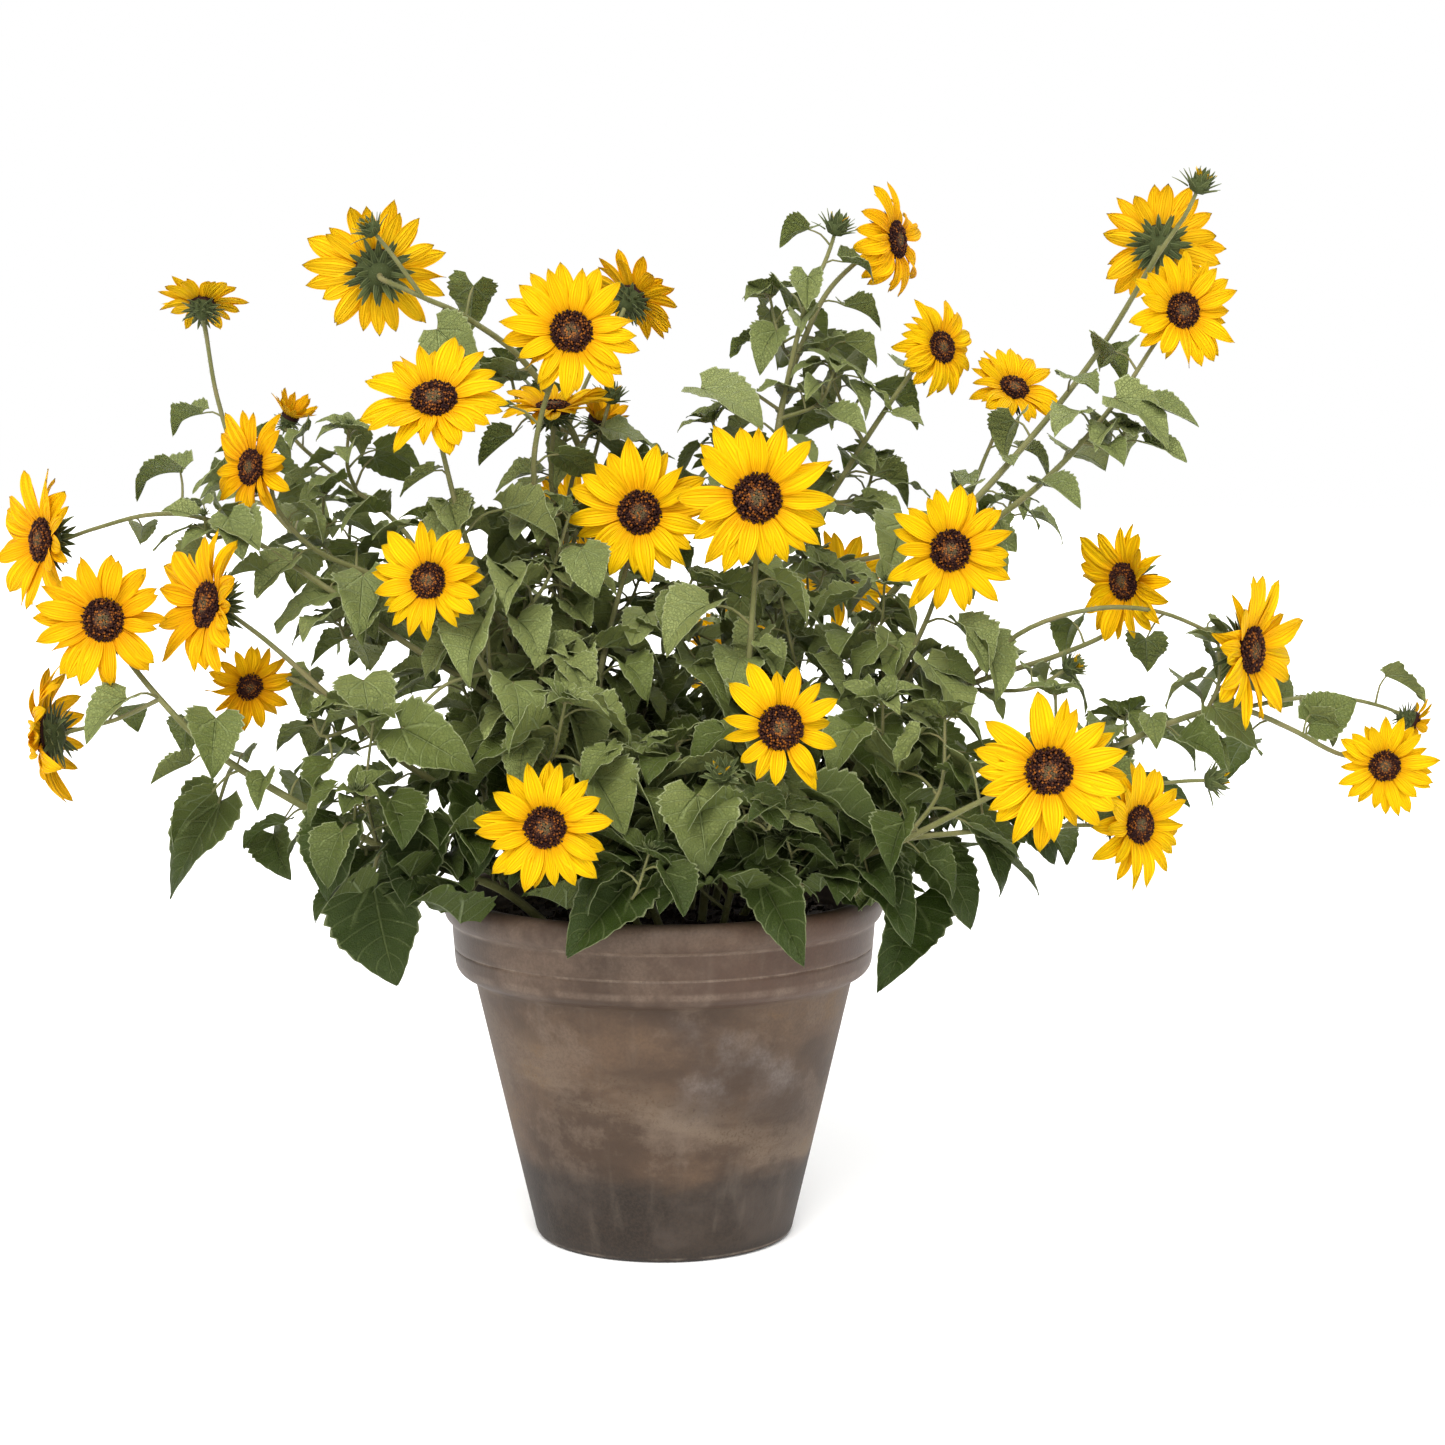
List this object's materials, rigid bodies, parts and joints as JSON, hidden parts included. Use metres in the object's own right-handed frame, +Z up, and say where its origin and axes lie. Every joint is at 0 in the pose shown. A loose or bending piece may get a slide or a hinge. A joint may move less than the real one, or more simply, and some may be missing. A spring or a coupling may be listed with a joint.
{
  "type": "potted sunflower",
  "caption": "Bushy many-headed sunflower plant in a tapered terracotta pot with a rolled rim, standing on its flat base.",
  "frame": {"origin": "centre of the pot's flat base, on the surface it stands on", "axes": "+Z up along the pot's axis; the plant's front faces -Y; +X to the right seen from the front"},
  "size_m": [1.1235, 0.6044, 0.8485],
  "materials": {
    "terracotta": "matt smoke-fired clay, brown-grey with paler smears",
    "soil": "loose dark potting compost",
    "petals": "soft satin ray florets, grooved lengthwise",
    "greenery": "hairy matt leaves and bristly stems",
    "disc": "velvety maroon-brown disc florets",
    "bracts": "hairy dark green bracts",
    "stalks": "bristly olive stems"
  },
  "bodies": {
    "root": {"pot": "terracotta", "soil": "soil", "flower_01": "petals", "flower_02": "petals", "flower_03": "petals", "flower_04": "petals", "flower_05": "petals", "flower_06": "petals", "flower_07": "petals", "flower_08": "petals", "flower_09": "petals", "flower_10": "petals", "flower_11": "petals", "flower_12": "petals", "flower_13": "petals", "flower_14": "petals", "flower_15": "petals", "flower_16": "petals", "flower_17": "petals", "flower_18": "petals", "flower_19": "petals", "flower_20": "petals", "flower_21": "petals", "flower_22": "petals", "flower_23": "petals", "flower_24": "petals", "flower_25": "petals", "flower_26": "petals", "flower_27": "petals", "flower_28": "petals", "flower_29": "petals", "flower_30": "petals", "flower_31": "petals", "flower_32": "petals", "flower_33": "petals", "flower_34": "petals", "flower_35": "petals", "stem_01": "greenery", "stem_02": "greenery", "stem_03": "greenery", "stem_04": "greenery", "stem_05": "greenery", "stem_06": "greenery", "stem_07": "greenery", "stem_08": "greenery", "stem_09": "greenery", "stem_10": "greenery", "stem_11": "greenery", "stem_12": "greenery", "stem_13": "greenery", "stem_14": "greenery", "stem_15": "greenery", "stem_16": "greenery", "stem_17": "greenery", "stem_18": "greenery", "stem_19": "greenery", "stem_20": "greenery", "stem_21": "greenery", "stem_22": "greenery", "stem_23": "greenery"}
  },
  "joints": []
}
